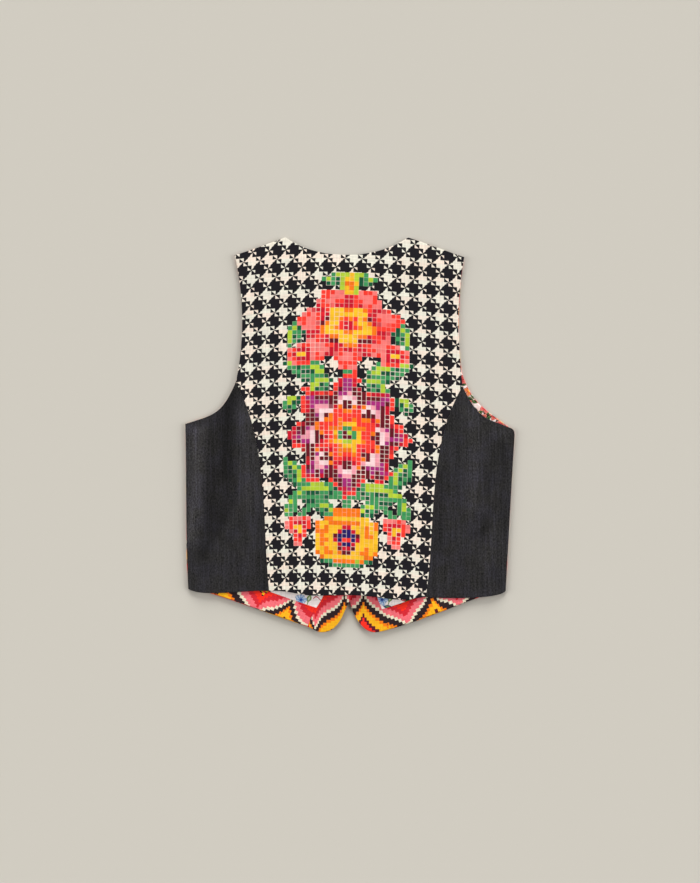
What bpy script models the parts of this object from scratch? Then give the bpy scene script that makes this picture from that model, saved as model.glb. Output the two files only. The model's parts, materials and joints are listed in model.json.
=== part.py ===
"""A short waistcoat laid face down on a flat surface, with its back uppermost.

The two fronts lie on the surface with their facings and linings on them, the left front over the
right one where they wrap. The back, one printed centre panel between two denim side panels, lies
over both. All tables are in millimetres, seen from above, with +Y towards the neck and X = 0 on
the line of the buttons.
"""

from collections import namedtuple

import bmesh
import bpy
import numpy as np
from mathutils import Matrix

MM = 0.001

# Cloth walls, the gaps between the layers, and how far each piece draws back from its seam line
FRONT_WALL = 1.2
LINING_WALL = 1.0
BACK_WALL = 1.5
LAYER_GAP = 0.35
SEAM_PART = 0.21
LAYER_STEP = FRONT_WALL + LAYER_GAP
FRONT_STACK = LAYER_STEP + LINING_WALL + LAYER_GAP

# Widths of the inner strips, and how far each front passes the line of the buttons
WRAP = 11.0
FRONT_FACING_WIDTH = 43.0
FACING_COLUMNS = (FRONT_FACING_WIDTH, 24.0, 12.0, 0.0)
LINING_COLUMNS = 9
HEM_FACING_ROWS = 2

# Buttons
BUTTON_DIAMETER = 15.0
BUTTON_THICKNESS = 3.0
BUTTON_HOLE_DIAMETER = 1.8
BUTTON_HOLE_SPACING = 3.8
LOWEST_BUTTON = -205.0
BUTTON_STEP = 62.0
BUTTON_COUNT = 4

# Corners of the laid garment
NECK_LEFT = (-94.7, 289.6)
NECK_RIGHT = (85.3, 289.6)
TIP_LEFT = (-169.4, 263.4)
TIP_RIGHT = (167.7, 260.6)
SEAM_TOP_LEFT = (-167.5, 77.4)
SEAM_TOP_RIGHT = (165.0, 70.8)
UNDERARM_LEFT = (-241.6, 16.0)
UNDERARM_RIGHT = (241.4, 5.0)
HEM_LEFT = (-237.1, -226.0)
HEM_RIGHT = (228.3, -228.9)
SEAM_FOOT_LEFT = (-118.7, -229.4)
SEAM_FOOT_RIGHT = (111.2, -237.7)

# One stretch of an edge is a cubic curve: it leaves its start towards one point and arrives at its
# end from another. The cells are the number of steps that the mesh takes along it.
Stretch = namedtuple("Stretch", "start leave arrive end cells")

BACK_EDGES = {
    "left_side": [Stretch(HEM_LEFT, (-241.6, -146), (-239.4, -64), UNDERARM_LEFT, 18)],
    "left_seam": [Stretch(SEAM_FOOT_LEFT, (-129.5, -128), (-118.2, -16), SEAM_TOP_LEFT, 18)],
    "left_underarm": [Stretch(UNDERARM_LEFT, (-198.2, 29.4), (-187.6, 30.7), SEAM_TOP_LEFT, 9)],
    "left_armhole": [Stretch(SEAM_TOP_LEFT, (-154.6, 138), (-155, 203), TIP_LEFT, 12)],
    "right_side": [Stretch(HEM_RIGHT, (232.7, -151), (235.8, -73), UNDERARM_RIGHT, 18)],
    "right_seam": [Stretch(SEAM_FOOT_RIGHT, (127.4, -135), (111.1, -22), SEAM_TOP_RIGHT, 18)],
    "right_underarm": [Stretch(SEAM_TOP_RIGHT, (190.5, 18.8), (194.7, 26.3), UNDERARM_RIGHT, 9)],
    "right_armhole": [Stretch(SEAM_TOP_RIGHT, (158.2, 144), (155, 187), TIP_RIGHT, 12)],
    "left_hem": [Stretch(HEM_LEFT, (-217.1, -239.3), (-147.8, -225.9), SEAM_FOOT_LEFT, 9)],
    "right_hem": [Stretch(SEAM_FOOT_RIGHT, (122.2, -239.8), (220, -242.2), HEM_RIGHT, 9)],
    "middle_hem": [
        Stretch(SEAM_FOOT_LEFT, (-100, -226.5), (-80, -233), (-62.4, -234.9), 5),
        Stretch((-62.4, -234.9), (-40, -236.5), (-10, -233.5), (11.4, -234.9), 6),
        Stretch((11.4, -234.9), (35, -236), (55, -241), (76.8, -241.5), 6),
        Stretch((76.8, -241.5), (90, -241.8), (100, -238.5), SEAM_FOOT_RIGHT, 3),
    ],
    "shoulders_and_neck": [
        Stretch(TIP_LEFT, (-145, 271), (-120, 280), NECK_LEFT, 5),
        Stretch(NECK_LEFT, (-47.4, 255.1), (37.4, 255.6), NECK_RIGHT, 10),
        Stretch(NECK_RIGHT, (112, 280.5), (140, 270), TIP_RIGHT, 5),
    ],
}

# The fronts' edges run up from the hem: the side and armhole, and the front edge and V of the neck.
FRONT_EDGES = {
    "left_outer": [
        Stretch((-235.6, -223.5), (-237.6, -212), (-239.4, -201), (-240.3, -189), 2),
        Stretch((-240.3, -189), (-241.4, -130), (-240.8, -60), (-242.3, 15.5), 10),
        Stretch((-242.3, 15.5), (-198.2, 28.6), (-186.8, 29.5), (-166.3, 77.4), 5),
        Stretch((-166.3, 77.4), (-153.2, 138), (-153.6, 203), TIP_LEFT, 10),
    ],
    "left_centre": [
        Stretch((-11, -266), (-8, -259), (-4, -250), (-0.7, -243.5), 2),
        Stretch((-0.7, -243.5), (4.5, -233), (WRAP, -218), (WRAP, -196), 3),
        Stretch((WRAP, -196), (WRAP, -130), (WRAP, -60), (WRAP, 5), 11),
        Stretch((WRAP, 5), (-24, 84), (-66, 190), NECK_LEFT, 11),
    ],
    "left_hem": [
        Stretch((-235.6, -223.5), (-177, -239), (-118, -263.5), (-62.4, -281.2), 9),
        Stretch((-62.4, -281.2), (-56, -284), (-50, -288.2), (-43.7, -289.6), 1),
        Stretch((-43.7, -289.6), (-27, -290.6), (-19, -281), (-11, -266), 2),
    ],
    "right_outer": [
        Stretch((227.2, -226), (229.4, -214), (230.8, -202), (231.5, -189), 2),
        Stretch((231.5, -189), (233.8, -130), (236.6, -70), (242.3, 4.4), 10),
        Stretch((242.3, 4.4), (206, 34), (177, 44), (163.9, 95), 6),
        Stretch((163.9, 95), (159, 140), (157, 187), TIP_RIGHT, 9),
    ],
    "right_centre": [
        Stretch((11.5, -272.5), (6.8, -266), (3, -257), (0, -248.5), 2),
        Stretch((0, -248.5), (-4.8, -235), (-WRAP, -220), (-WRAP, -198), 3),
        Stretch((-WRAP, -198), (-WRAP, -130), (-WRAP, -60), (-WRAP, 5), 11),
        Stretch((-WRAP, 5), (22, 84), (60, 190), NECK_RIGHT, 11),
    ],
    "right_hem": [
        Stretch((227.2, -226), (176, -240.5), (118, -269), (58, -285.3), 9),
        Stretch((58, -285.3), (51, -287.4), (44, -289.3), (37.5, -289.6), 1),
        Stretch((37.5, -289.6), (27, -290), (19, -283.5), (11.5, -272.5), 2),
    ],
}

# The largest folds of the denim side backs: soft ridges from head to foot
Fold = namedtuple("Fold", "head foot half_width height")
BACK_FOLDS = [
    Fold((-196, 22), (-205, -72), 19, 3.4),
    Fold((-150, -96), (-176, -196), 24, 1.6),
    Fold((-216, -112), (-222, -180), 17, 1.5),
    Fold((194, 2), (190, -118), 18, 2.6),
    Fold((150, -60), (146, -170), 18, 1.4),
    Fold((206, -136), (196, -206), 20, 1.6),
]

# How the cloth lies, in height above the surface
BACK_REST = FRONT_STACK
BACK_RISE = 1.2
EDGE_ROLL = 26.0
BUTTON_LIFT = BUTTON_THICKNESS + LAYER_GAP
CENTRE_RISE = BUTTON_LIFT + FRONT_STACK + LAYER_GAP + 0.3

COLOURS = {
    "printed_check": (0.46, 0.43, 0.38, 1),
    "dark_denim": (0.034, 0.034, 0.037, 1),
    "flame_print": (0.72, 0.14, 0.07, 1),
    "flower_lining": (0.78, 0.72, 0.76, 1),
    "horn_button": (0.07, 0.045, 0.03, 1),
}
ROUGHNESS = {"horn_button": 0.35}


def clear_scene():
    """Removes what the file starts with."""
    for obj in list(bpy.data.objects):
        bpy.data.objects.remove(obj, do_unlink=True)


def new_collection(name):
    """A collection for the garment's pieces, linked to the scene."""
    collection = bpy.data.collections.new(name)
    bpy.context.scene.collection.children.link(collection)
    return collection


def new_materials():
    """One plain cloth or horn material for each colour."""
    made = {}
    for name, colour in COLOURS.items():
        material = bpy.data.materials.new(name)
        material.use_nodes = True
        shader = material.node_tree.nodes["Principled BSDF"]
        shader.inputs["Base Color"].default_value = colour
        shader.inputs["Roughness"].default_value = ROUGHNESS.get(name, 0.9)
        shader.inputs["Metallic"].default_value = 0.0
        made[name] = material
    return made


def ramp(value, none, full):
    """0 at none, 1 at full, with a smooth S between them."""
    share = np.clip((value - none) / (full - none), 0, 1)
    return share * share * (3 - 2 * share)


def edge(stretches):
    """The points of an edge: each stretch is a cubic curve, cut into its cells."""
    points = [np.array([stretches[0].start], float)]
    for stretch in stretches:
        share = np.linspace(0, 1, stretch.cells + 1)[1:, None]
        start, leave, arrive, end = (np.array(point, float) for point in stretch[:4])
        points.append(
            (1 - share) ** 3 * start
            + 3 * (1 - share) ** 2 * share * leave
            + 3 * (1 - share) * share**2 * arrive
            + share**3 * end
        )
    return np.concatenate(points)


def along_chord(points):
    """How far along the straight line between its ends each point of an edge lies, 0 to 1."""
    chord = points[-1] - points[0]
    return (points - points[0]) @ chord / (chord @ chord)


def panel(left, right, bottom, top, across=None):
    """A grid of points between four edges.

    Each row goes straight from the left edge to the right one, and takes its bend from the hem and
    from the top edge, whichever is nearer. A row's columns stand at the shares in across.
    """
    rows = len(left) - 1
    up = (np.arange(rows + 1) / rows)[:, None, None]
    low, high = along_chord(bottom), along_chord(top)
    if across is None:
        across = (1 - up[..., 0]) * low + up[..., 0] * high
    share = across[..., None]
    straight = left[:, None] * (1 - share) + right[:, None] * share
    bottom_bend = bottom - (bottom[0] + low[:, None] * (bottom[-1] - bottom[0]))
    top_bend = top - (top[0] + high[:, None] * (top[-1] - top[0]))
    return straight + (1 - up) ** 2 * bottom_bend + up**2 * top_bend


def front_columns(outer, centre, hem):
    """Shares across a front's rows: facing columns at set widths from the front edge, the rest even."""
    width = np.linalg.norm(centre - outer, axis=1)[:, None]
    facing = 1 - np.array(FACING_COLUMNS) / width
    inner = facing[:, :1] * np.linspace(0, 1, LINING_COLUMNS + 1)[:-1]
    across = np.concatenate([inner, facing], axis=1)
    hem_share = along_chord(hem)
    near_hem = np.clip(1 - np.arange(len(outer)) / (HEM_FACING_ROWS + 1), 0, 1)[:, None]
    return across * (1 - near_hem) + hem_share * near_hem


def front_panel(side):
    """The grid of one front, from its outer edge to its front edge."""
    outer = edge(FRONT_EDGES[side + "_outer"])
    centre = edge(FRONT_EDGES[side + "_centre"])
    hem = edge(FRONT_EDGES[side + "_hem"])
    across = front_columns(outer, centre, hem)
    shoulder = outer[-1] + across[-1][:, None] * (centre[-1] - outer[-1])
    return panel(outer, centre, hem, shoulder, across)


def under_lift(points):
    """Height of the right front's underside: it rides over the buttons and lies flat elsewhere."""
    x, y = points[..., 0], points[..., 1]
    return BUTTON_LIFT * ramp(x, 52, 12) * ramp(y, -262, -222) * ramp(y, 60, 8)


def over_lift(points):
    """Height of the left front's underside: it rides over the right front's edge."""
    x, y = points[..., 0], points[..., 1]
    buttons = BUTTON_LIFT * ramp(y, -272, -234) * ramp(y, 96, 20)
    wrap = (FRONT_STACK + LAYER_GAP) * ramp(y, -292, -256) * ramp(y, 110, 46)
    return (buttons + wrap) * ramp(x, -64, -12)


def distance_to_edge(points, outline):
    """Distance from each point to the nearest of the outline's points."""
    apart = points[..., None, :] - outline
    return np.sqrt((apart**2).sum(axis=-1)).min(axis=-1)


def fold_height(points):
    """Sum of the folds: each is a bell across its line, fading at the head and the foot."""
    total = np.zeros(points.shape[:-1])
    for fold in BACK_FOLDS:
        head, foot = np.array(fold.head, float), np.array(fold.foot, float)
        line = foot - head
        share = np.clip((points - head) @ line / (line @ line), 0, 1)
        nearest = head + share[..., None] * line
        across = np.linalg.norm(points - nearest, axis=-1) / fold.half_width
        total += fold.height * np.exp(-(across**2) * 1.6)
    return total


def back_height(points, outline):
    """Height of the back's underside: over the wrap of the fronts, soft folds, rolled at its edges."""
    x, y = points[..., 0], points[..., 1]
    roll = ramp(distance_to_edge(points, outline), 0, EDGE_ROLL)
    over_wrap = ramp(np.abs(x), 128, 16) * ramp(y, 250, 60)
    return BACK_REST + CENTRE_RISE * over_wrap + roll * (BACK_RISE + fold_height(points))


def back_outline():
    """The points all round the back: sides, armholes, shoulders and neck."""
    names = ("side", "underarm", "armhole")
    edges = [edge(BACK_EDGES[f"{side}_{name}"]) for side in ("left", "right") for name in names]
    return np.concatenate(edges + [edge(BACK_EDGES["shoulders_and_neck"])])


def cloth(name, plan, height, wall, material, collection):
    """A wall of cloth that stands on the grid of points: an open surface with Solidify."""
    rows, columns = plan.shape[:2]
    points = np.concatenate([plan, height[..., None]], axis=-1).reshape(-1, 3) * MM
    corner = (np.arange(rows - 1)[:, None] * columns + np.arange(columns - 1)).reshape(-1)
    faces = np.stack([corner, corner + 1, corner + columns + 1, corner + columns], axis=1)
    mesh = bpy.data.meshes.new(name)
    mesh.from_pydata(points.tolist(), [], faces.tolist())
    shape = bmesh.new()
    shape.from_mesh(mesh)
    if sum(face.normal.z for face in shape.faces) < 0:
        bmesh.ops.reverse_faces(shape, faces=shape.faces)
    shape.to_mesh(mesh)
    shape.free()
    mesh.shade_smooth()
    mesh.materials.append(material)
    piece = bpy.data.objects.new(name, mesh)
    thickness = piece.modifiers.new("wall", "SOLIDIFY")
    thickness.thickness = wall * MM
    thickness.offset = 1.0
    collection.objects.link(piece)
    return piece


def build_front(side, lift, materials, collection):
    """One front with the facings and the lining that lie on it, all on the front's own points."""
    plan = front_panel(side)
    height = lift(plan)
    cloth(f"front_{side}", plan, height, FRONT_WALL, materials["flame_print"], collection)
    outward = -1 if side == "left" else 1
    inner = height + LAYER_STEP
    every_row = slice(None)
    hem_rows = slice(0, HEM_FACING_ROWS + 1)
    upper_rows = slice(HEM_FACING_ROWS, None)
    outer_columns = slice(0, LINING_COLUMNS + 1)
    edge_columns = slice(LINING_COLUMNS, None)
    strips = (
        ("front_facing", "flame_print", every_row, edge_columns, (-outward, 0)),
        ("hem_facing", "flame_print", hem_rows, outer_columns, (outward, -1)),
        ("lining", "flower_lining", upper_rows, outer_columns, (outward, 1)),
    )
    for name, cover, rows, columns, away in strips:
        strip = plan[rows, columns] + np.array(away) * SEAM_PART
        cloth(f"{name}_{side}", strip, inner[rows, columns], LINING_WALL, materials[cover], collection)


def build_back(materials, collection):
    """The centre back and the two denim side backs, parted at the princess seams."""
    edges = {name: edge(stretches) for name, stretches in BACK_EDGES.items()}
    outline = back_outline()
    part = np.array([SEAM_PART, 0])
    centre_left = np.concatenate([edges["left_seam"], edges["left_armhole"][1:]]) + part
    centre_right = np.concatenate([edges["right_seam"], edges["right_armhole"][1:]]) - part
    plans = {
        "back_centre": panel(
            centre_left, centre_right, edges["middle_hem"], edges["shoulders_and_neck"]
        ),
        "back_side_left": panel(
            edges["left_side"], edges["left_seam"] - part, edges["left_hem"], edges["left_underarm"]
        ),
        "back_side_right": panel(
            edges["right_seam"] + part, edges["right_side"], edges["right_hem"], edges["right_underarm"]
        ),
    }
    for name, plan in plans.items():
        cover = "printed_check" if name == "back_centre" else "dark_denim"
        cloth(name, plan, back_height(plan, outline), BACK_WALL, materials[cover], collection)


def button_mesh(material):
    """A turned button with a sunk face and four holes, face down with its rim at z = 0."""
    radius = BUTTON_DIAMETER / 2
    profile = [
        (0, BUTTON_THICKNESS),
        (0.62 * radius, BUTTON_THICKNESS - 0.1),
        (0.92 * radius, BUTTON_THICKNESS - 0.8),
        (radius, BUTTON_THICKNESS / 2),
        (0.94 * radius, 0.3),
        (0.82 * radius, 0),
        (0.62 * radius, 0.7),
        (0, 0.8),
    ]
    mesh = bpy.data.meshes.new("button_profile")
    steps = [(index, index + 1) for index in range(len(profile) - 1)]
    mesh.from_pydata([(x * MM, 0, z * MM) for x, z in profile], steps, [])
    blank = bpy.data.objects.new("button_blank", mesh)
    turn = blank.modifiers.new("turned", "SCREW")
    turn.steps = turn.render_steps = 20
    turn.use_merge_vertices = True
    turn.merge_threshold = 0.00001
    drill = bmesh.new()
    reach = BUTTON_HOLE_SPACING / 2 * MM
    for x, y in ((-reach, -reach), (reach, -reach), (reach, reach), (-reach, reach)):
        bmesh.ops.create_cone(
            drill,
            cap_ends=True,
            segments=8,
            radius1=BUTTON_HOLE_DIAMETER / 2 * MM,
            radius2=BUTTON_HOLE_DIAMETER / 2 * MM,
            depth=4 * BUTTON_THICKNESS * MM,
            matrix=Matrix.Translation((x, y, 0)),
        )
    drill_mesh = bpy.data.meshes.new("button_drill")
    drill.to_mesh(drill_mesh)
    drill.free()
    cutter = bpy.data.objects.new("button_drill", drill_mesh)
    for helper in (blank, cutter):
        bpy.context.scene.collection.objects.link(helper)
    holes = blank.modifiers.new("holes", "BOOLEAN")
    holes.object = cutter
    graph = bpy.context.evaluated_depsgraph_get()
    button = bpy.data.meshes.new_from_object(blank.evaluated_get(graph))
    button.name = "button"
    button.materials.clear()
    button.materials.append(material)
    for helper in (blank, cutter):
        bpy.data.objects.remove(helper, do_unlink=True)
    return button


def build_buttons(materials, collection):
    """The buttons under the wrap of the fronts, from the hem up."""
    mesh = button_mesh(materials["horn_button"])
    for number in range(BUTTON_COUNT):
        button = bpy.data.objects.new(f"button_{number + 1}", mesh)
        button.location = (0, (LOWEST_BUTTON + number * BUTTON_STEP) * MM, 0)
        collection.objects.link(button)


clear_scene()
garment = new_collection("waistcoat")
cloths = new_materials()
build_front("right", under_lift, cloths, garment)
build_front("left", over_lift, cloths, garment)
build_back(cloths, garment)
build_buttons(cloths, garment)
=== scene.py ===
"""A short waistcoat laid face down on a pale table, with its back uppermost.

Sizes are in millimetres on the cloth, seen from above, with +Y towards the neck and X = 0 on the
line of the buttons. MM turns them into metres as a mesh is made.
"""

import json
import math
from collections import namedtuple

import bpy
import numpy as np
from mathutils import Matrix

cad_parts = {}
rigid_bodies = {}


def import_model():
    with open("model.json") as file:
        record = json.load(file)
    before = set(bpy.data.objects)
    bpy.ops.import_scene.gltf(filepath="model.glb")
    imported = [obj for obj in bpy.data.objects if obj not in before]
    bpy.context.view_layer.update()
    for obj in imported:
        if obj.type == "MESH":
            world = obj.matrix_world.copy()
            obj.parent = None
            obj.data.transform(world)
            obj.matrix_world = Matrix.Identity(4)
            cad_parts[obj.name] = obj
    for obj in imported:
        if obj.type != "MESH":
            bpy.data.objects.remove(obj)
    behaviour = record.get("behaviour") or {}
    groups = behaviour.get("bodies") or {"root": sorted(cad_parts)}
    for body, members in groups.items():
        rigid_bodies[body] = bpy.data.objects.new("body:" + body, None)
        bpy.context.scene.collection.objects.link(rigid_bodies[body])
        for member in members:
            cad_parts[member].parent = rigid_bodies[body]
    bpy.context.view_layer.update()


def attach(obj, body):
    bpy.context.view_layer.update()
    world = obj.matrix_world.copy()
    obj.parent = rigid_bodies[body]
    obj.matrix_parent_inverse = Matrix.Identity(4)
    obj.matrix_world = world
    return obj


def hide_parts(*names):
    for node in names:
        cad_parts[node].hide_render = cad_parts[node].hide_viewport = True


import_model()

# The table, the camera and the light
# A matt painted board that fills the view, seen from straight above through a long lens. The
# light is a faint even glow from all round, a low broad panel at the head of the table and a
# weaker one at each side.
MM = 0.001
TABLE_SIDE = 16.0
TABLE_TOP = -0.0002
TABLE_COLOUR = (209, 204, 193)
VIEW_CENTRE = (0.0, -0.0098)
VIEW_HEIGHT = 3.0615
LENS = 85.0
GLOW = 0.155
# Each panel's strength, its width as seen from the table, and how far it leans from overhead
PANELS = {
    "head_panel": (3.93, 38, (-70, 0)),
    "left_panel": (2.0, 40, (0, -66)),
    "right_panel": (2.45, 42, (0, 66)),
}

# How much light leaves a white surface here, so that a colour can be given as it looks
BRIGHTNESS = 1.15
SHINE = 0.008


def dye(red, green, blue):
    """A cloth's own colour from the 0 to 255 colour that it shows on the table.

    Each number is turned to linear light, the faint shine is taken off, and the rest is divided
    by the brightness of the light.
    """
    shown = np.array((red, green, blue)) / 255
    linear = np.where(shown <= 0.04045, shown / 12.92, ((shown + 0.055) / 1.055) ** 2.4)
    own = np.clip(linear / BRIGHTNESS - SHINE, 0.002, 0.95)
    return (*own.tolist(), 1.0)


def new_material(name, roughness, shine=0.2, sheen=0.0):
    """An empty material with one shader, whose steady numbers stand on its own sockets."""
    material = bpy.data.materials.new(name)
    material.use_nodes = True
    shader = material.node_tree.nodes["Principled BSDF"]
    steady = {"Roughness": roughness, "Specular IOR Level": shine, "Sheen Weight": sheen}
    for socket, number in {**steady, "Sheen Roughness": 0.5}.items():
        shader.inputs[socket].default_value = number
    return material, material.node_tree, shader


def put(name, data):
    """An object of this data, in the scene."""
    item = bpy.data.objects.new(name, data)
    bpy.context.scene.collection.objects.link(item)
    return item


table_mesh = bpy.data.meshes.new("table")
side = TABLE_SIDE / 2
table_corners = [(x * side, y * side, TABLE_TOP) for x, y in ((-1, -1), (1, -1), (1, 1), (-1, 1))]
table_mesh.from_pydata(table_corners, [], [(0, 1, 2, 3)])
table = put("table", table_mesh)
table_paint, tree, shader = new_material("table_paint", 0.95)
shader.inputs["Base Color"].default_value = dye(*TABLE_COLOUR)
table_mesh.materials.append(table_paint)

camera_data = bpy.data.cameras.new("camera")
camera_data.lens = LENS
camera_data.sensor_width = 36.0
camera = put("camera", camera_data)
camera.location = (*VIEW_CENTRE, VIEW_HEIGHT)
bpy.context.scene.camera = camera

for name, (strength, width, lean) in PANELS.items():
    light_data = bpy.data.lights.new(name, "SUN")
    light_data.energy = strength
    light_data.angle = math.radians(width)
    light = put(name, light_data)
    light.rotation_euler = (math.radians(lean[0]), math.radians(lean[1]), 0)

world = bpy.data.worlds.new("glow")
world.use_nodes = True
background = world.node_tree.nodes["Background"]
background.inputs["Color"].default_value = (1, 1, 1, 1)
background.inputs["Strength"].default_value = GLOW
bpy.context.scene.world = world
bpy.context.scene.view_settings.view_transform = "Standard"

# The print of the fronts and their facings
# A flame stitch, printed: upright stitches in columns, each column a step above or below the
# next, so that bands of red, pink, cream, brown, orange and yellow rise to peaks. It runs over
# the fronts' outsides and the facings that show below the back.


class Amount:
    """A number that changes over the cloth. Arithmetic on it adds Math nodes to its tree."""

    def __init__(self, tree, socket):
        self.tree = tree
        self.socket = socket

    def __abs__(self):
        return calculate("ABSOLUTE", self)

    def __lt__(self, other):
        return calculate("LESS_THAN", self, other)

    def __gt__(self, other):
        return calculate("GREATER_THAN", self, other)


OPERATORS = {"add": "ADD", "sub": "SUBTRACT", "mul": "MULTIPLY", "truediv": "DIVIDE", "pow": "POWER"}
for name, operation in OPERATORS.items():
    setattr(Amount, f"__{name}__", lambda left, right, kind=operation: calculate(kind, left, right))
    setattr(Amount, f"__r{name}__", lambda right, left, kind=operation: calculate(kind, left, right))


def connect(tree, value, socket):
    """Feeds a socket with an amount, with another socket, or with a steady number or colour."""
    if isinstance(value, Amount):
        value = value.socket
    if isinstance(value, bpy.types.NodeSocket):
        tree.links.new(value, socket)
    else:
        socket.default_value = value


def wire(tree, kind, *values, settings=None, **named):
    """Adds a shader node of this kind. The values feed its inputs in order, the others by name."""
    node = tree.nodes.new(f"ShaderNode{kind}")
    for name, setting in (settings or {}).items():
        setattr(node, name, setting)
    for place, value in enumerate(values):
        connect(tree, value, node.inputs[place])
    for name, value in named.items():
        connect(tree, value, node.inputs[name.replace("_", " ")])
    return node


def calculate(operation, *values):
    """One Math node with this operation on one to three numbers or amounts."""
    tree = next(value.tree for value in values if isinstance(value, Amount))
    node = wire(tree, "Math", *values, settings={"operation": operation})
    return Amount(tree, node.outputs[0])


def whole(value):
    """The next whole number below the value."""
    return calculate("FLOOR", value)


def fraction(value):
    """What the value has over the next whole number below it."""
    return calculate("FRACT", value)


def sine(angle):
    """The sine of an angle in radians."""
    return calculate("SINE", angle)


def cosine(angle):
    """The cosine of an angle in radians."""
    return calculate("COSINE", angle)


def most(first, second):
    """The larger of two amounts."""
    return calculate("MAXIMUM", first, second)


def least(first, second):
    """The smaller of two amounts."""
    return calculate("MINIMUM", first, second)


def polar(x, y):
    """The distance from zero, the square root of x^2 + y^2, and the direction in radians."""
    return calculate("SQRT", x * x + y * y), calculate("ARCTAN2", y, x)


def between(value, none, full):
    """0 where the value is at none, 1 at full, straight between them."""
    node = wire(value.tree, "MapRange", value, none, full)
    return Amount(value.tree, node.outputs["Result"])


def point(x, y):
    """A vector socket from two amounts."""
    return wire(x.tree, "CombineXYZ", X=x, Y=y).outputs[0]


def parts(tree, vector):
    """The first two numbers of a vector socket."""
    node = wire(tree, "SeparateXYZ", Vector=vector)
    return Amount(tree, node.outputs["X"]), Amount(tree, node.outputs["Y"])


def chance(tree, x, y, seed):
    """An even random number from 0 to 1, one for each whole pair of x and y."""
    place = wire(tree, "CombineXYZ", x, y, seed).outputs[0]
    node = wire(tree, "TexWhiteNoise", place, settings={"noise_dimensions": "3D"})
    return Amount(tree, node.outputs["Value"])


def cloud(tree, vector, scale, detail=2.0, seed=0.0):
    """Smooth noise from 0 to 1 with the given number of patches in a unit of the vector."""
    node = wire(tree, "TexNoise", vector, seed, scale, detail, settings={"noise_dimensions": "4D"})
    return Amount(tree, node.outputs["Fac"])


def lay(base, cover, mask):
    """The base colour with the cover colour laid on it where the mask is 1."""
    node = wire(mask.tree, "Mix", mask, settings={"data_type": "RGBA"})
    for socket, colour in zip([item for item in node.inputs if item.type == "RGBA"], (base, cover)):
        connect(mask.tree, colour, socket)
    return next(item for item in node.outputs if item.type == "RGBA")


def darken(colour, amount):
    """The colour multiplied by an amount, 1 leaving it as it is."""
    scale = {"operation": "SCALE"}
    return wire(amount.tree, "VectorMath", colour, settings=scale, Scale=amount).outputs[0]


def colour_bands(value, bands, smooth=False):
    """A colour for each stretch of the value: bands lists where each begins, 0 to 1, and its dye."""
    node = wire(value.tree, "ValToRGB", value)
    node.color_ramp.interpolation = "LINEAR" if smooth else "CONSTANT"
    stops = node.color_ramp.elements
    while len(stops) < len(bands):
        stops.new(1.0)
    for stop, (start, colour) in zip(stops, bands):
        stop.position = start
        stop.color = colour
    return node.outputs["Color"]


def new_group(name, takes, gives):
    """A node group with named sockets. Returns its tree, its inner inputs and its outputs."""
    tree = bpy.data.node_groups.new(name, "ShaderNodeTree")
    for way, sockets in (("INPUT", takes), ("OUTPUT", gives)):
        for socket, kind in sockets.items():
            tree.interface.new_socket(socket, in_out=way, socket_type=f"NodeSocket{kind}")
    return tree, tree.nodes.new("NodeGroupInput").outputs, tree.nodes.new("NodeGroupOutput").inputs


def use_group(tree, group, **named):
    """Places a node group in a tree and feeds its inputs."""
    return wire(tree, "Group", settings={"node_tree": group}, **named)


def add_bump(tree, shader, height, depth, strength):
    """Raises the cloth by this height, 0 to 1, times the depth in millimetres."""
    bump = wire(tree, "Bump", Height=height, Distance=depth * MM, Strength=strength)
    tree.links.new(bump.outputs[0], shader.inputs["Normal"])


# Plain weave, for every printed cloth: round threads that pass over and under each other, a
# little uneven in thickness. It gives the height of the cloth and a small change of its colour.
takes, gives = {"Place": "Vector", "Thread": "Float"}, {"Height": "Float", "Tone": "Float"}
weave, weave_in, weave_out = new_group("plain weave", takes, gives)
across, along = parts(weave, weave_in["Place"])
thread = Amount(weave, weave_in["Thread"])
thread_x = across / thread
thread_y = along / thread
warp = sine(thread_x * math.pi)
weft = sine(thread_y * math.pi)
crossing = cosine(thread_x * math.pi) * cosine(thread_y * math.pi)
slub = cloud(weave, point(thread_x * 0.3, thread_y * 0.02), 1.0)
slub_across = cloud(weave, point(thread_x * 0.02, thread_y * 0.3), 1.0, seed=4.0)
height = abs(warp * weft) * 0.7 + abs(crossing) * 0.5
tone = (slub + slub_across - 1.0) * 0.5 + (height - 0.5) * 0.08 + 1.0
weave.links.new(height.socket, weave_out["Height"])
weave.links.new(tone.socket, weave_out["Tone"])


def finish_cloth(tree, shader, colour, place, thread, depth):
    """Ends a printed cloth: its colour with the weave's tone, and the weave as a bump."""
    woven = use_group(tree, weave, Place=place, Thread=thread)
    tree.links.new(darken(colour, Amount(tree, woven.outputs["Tone"])), shader.inputs["Base Color"])
    add_bump(tree, shader, woven.outputs["Height"], depth, strength=0.6)


STITCH_STEP = 1.65
STITCH_RISE = 4.2
BAND_REPEAT = 98.0
BROWN_TOP = 59.0
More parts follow.
